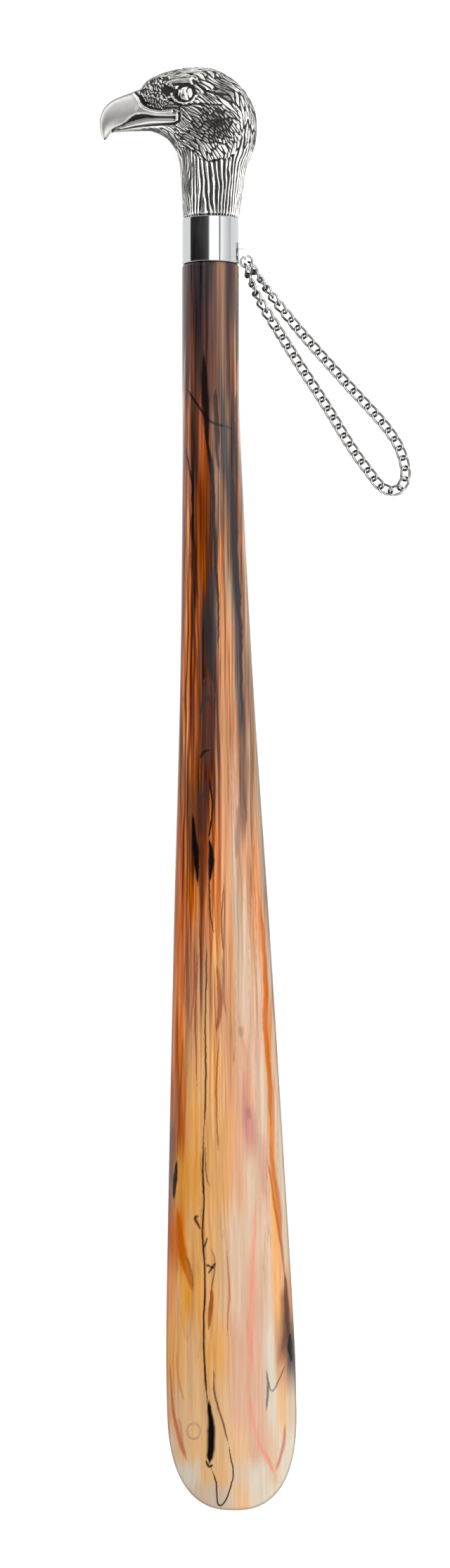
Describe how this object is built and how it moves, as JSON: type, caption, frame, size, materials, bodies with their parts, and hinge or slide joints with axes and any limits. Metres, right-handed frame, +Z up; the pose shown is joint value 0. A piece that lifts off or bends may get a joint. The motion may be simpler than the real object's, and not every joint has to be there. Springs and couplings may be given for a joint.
{
  "type": "long shoehorn",
  "caption": "Long shoehorn with a cast eagle's head handle, chromed collar, horn shaft that widens into a curved blade, and a hanging chain loop.",
  "frame": {"origin": "middle of the footprint on the table, with the shoehorn lying hollow side down", "axes": "+Y from the blade towards the head, +X towards the side with the chain, +Z up from the table"},
  "size_m": [0.1178, 0.5446, 0.033],
  "materials": {
    "antique_silver": "silver-plated casting, darkened in its recesses",
    "chrome": "polished",
    "horn": "polished horn, near black at the shaft and pale at the tip",
    "steel": "plain",
    "chain_steel": "polished"
  },
  "bodies": {
    "handle": {"eagle_head": "antique_silver", "collar": "chrome", "shaft_and_blade": "horn", "threaded_stud": "steel", "chain_lug": "chrome"},
    "ring": {"jump_ring": "chain_steel"},
    "chain_run_1": {"chain_link_01": "chain_steel", "chain_link_02": "chain_steel", "chain_link_03": "chain_steel", "chain_link_54": "chain_steel", "chain_link_53": "chain_steel", "chain_link_52": "chain_steel"},
    "chain_run_2": {"chain_link_04": "chain_steel", "chain_link_05": "chain_steel", "chain_link_06": "chain_steel", "chain_link_51": "chain_steel", "chain_link_50": "chain_steel", "chain_link_49": "chain_steel"},
    "chain_run_3": {"chain_link_07": "chain_steel", "chain_link_08": "chain_steel", "chain_link_09": "chain_steel", "chain_link_48": "chain_steel", "chain_link_47": "chain_steel", "chain_link_46": "chain_steel"},
    "chain_run_4": {"chain_link_10": "chain_steel", "chain_link_11": "chain_steel", "chain_link_12": "chain_steel", "chain_link_45": "chain_steel", "chain_link_44": "chain_steel", "chain_link_43": "chain_steel"},
    "chain_run_5": {"chain_link_13": "chain_steel", "chain_link_14": "chain_steel", "chain_link_15": "chain_steel", "chain_link_42": "chain_steel", "chain_link_41": "chain_steel", "chain_link_40": "chain_steel"},
    "chain_run_6": {"chain_link_16": "chain_steel", "chain_link_17": "chain_steel", "chain_link_18": "chain_steel", "chain_link_39": "chain_steel", "chain_link_38": "chain_steel", "chain_link_37": "chain_steel"},
    "chain_run_7": {"chain_link_19": "chain_steel", "chain_link_20": "chain_steel", "chain_link_21": "chain_steel", "chain_link_36": "chain_steel", "chain_link_35": "chain_steel", "chain_link_34": "chain_steel"},
    "chain_run_8": {"chain_link_22": "chain_steel", "chain_link_23": "chain_steel", "chain_link_24": "chain_steel", "chain_link_33": "chain_steel", "chain_link_32": "chain_steel", "chain_link_31": "chain_steel"},
    "chain_run_9": {"chain_link_25": "chain_steel", "chain_link_26": "chain_steel", "chain_link_27": "chain_steel", "chain_link_30": "chain_steel", "chain_link_29": "chain_steel", "chain_link_28": "chain_steel"}
  },
  "joints": [
    {"name": "ring_swing", "type": "hinge", "parent": "handle", "child": "ring", "pos_m": [-0.0033, 0.2008, 0.0165], "axis": [0, 0, 1], "range_deg": [-6, 70]},
    {"name": "chain_lift", "type": "hinge", "parent": "ring", "child": "chain_run_1", "pos_m": [-0.00204, 0.19844, 0.01502], "axis": [0.8821, 0.4711, 0], "range_deg": [-20, 20]},
    {"name": "chain_fold_1", "type": "hinge", "parent": "chain_run_1", "child": "chain_run_2", "pos_m": [0.00275, 0.19007, 0.00905], "axis": [0.8761, 0.4822, 0], "range_deg": [-30, 30]},
    {"name": "chain_fold_2", "type": "hinge", "parent": "chain_run_2", "child": "chain_run_3", "pos_m": [0.00914, 0.18116, 0.00427], "axis": [0.8612, 0.5082, 0], "range_deg": [-30, 30]},
    {"name": "chain_fold_3", "type": "hinge", "parent": "chain_run_3", "child": "chain_run_4", "pos_m": [0.01616, 0.17187, 0.0016], "axis": [0.8488, 0.5286, 0], "range_deg": [-30, 30]},
    {"name": "chain_fold_4", "type": "hinge", "parent": "chain_run_4", "child": "chain_run_5", "pos_m": [0.02337, 0.16235, 0.00114], "axis": [0.8389, 0.5443, 0], "range_deg": [-30, 30]},
    {"name": "chain_fold_5", "type": "hinge", "parent": "chain_run_5", "child": "chain_run_6", "pos_m": [0.03067, 0.15287, 0.00114], "axis": [0.8313, 0.5559, 0], "range_deg": [-30, 30]},
    {"name": "chain_fold_6", "type": "hinge", "parent": "chain_run_6", "child": "chain_run_7", "pos_m": [0.03787, 0.14333, 0.00114], "axis": [0.8257, 0.5642, 0], "range_deg": [-30, 30]},
    {"name": "chain_fold_7", "type": "hinge", "parent": "chain_run_7", "child": "chain_run_8", "pos_m": [0.04499, 0.13372, 0.00114], "axis": [0.823, 0.5681, 0], "range_deg": [-30, 30]},
    {"name": "chain_fold_8", "type": "hinge", "parent": "chain_run_8", "child": "chain_run_9", "pos_m": [0.05131, 0.12361, 0.00114], "axis": [0.8157, 0.5785, 0], "range_deg": [-30, 30]}
  ]
}
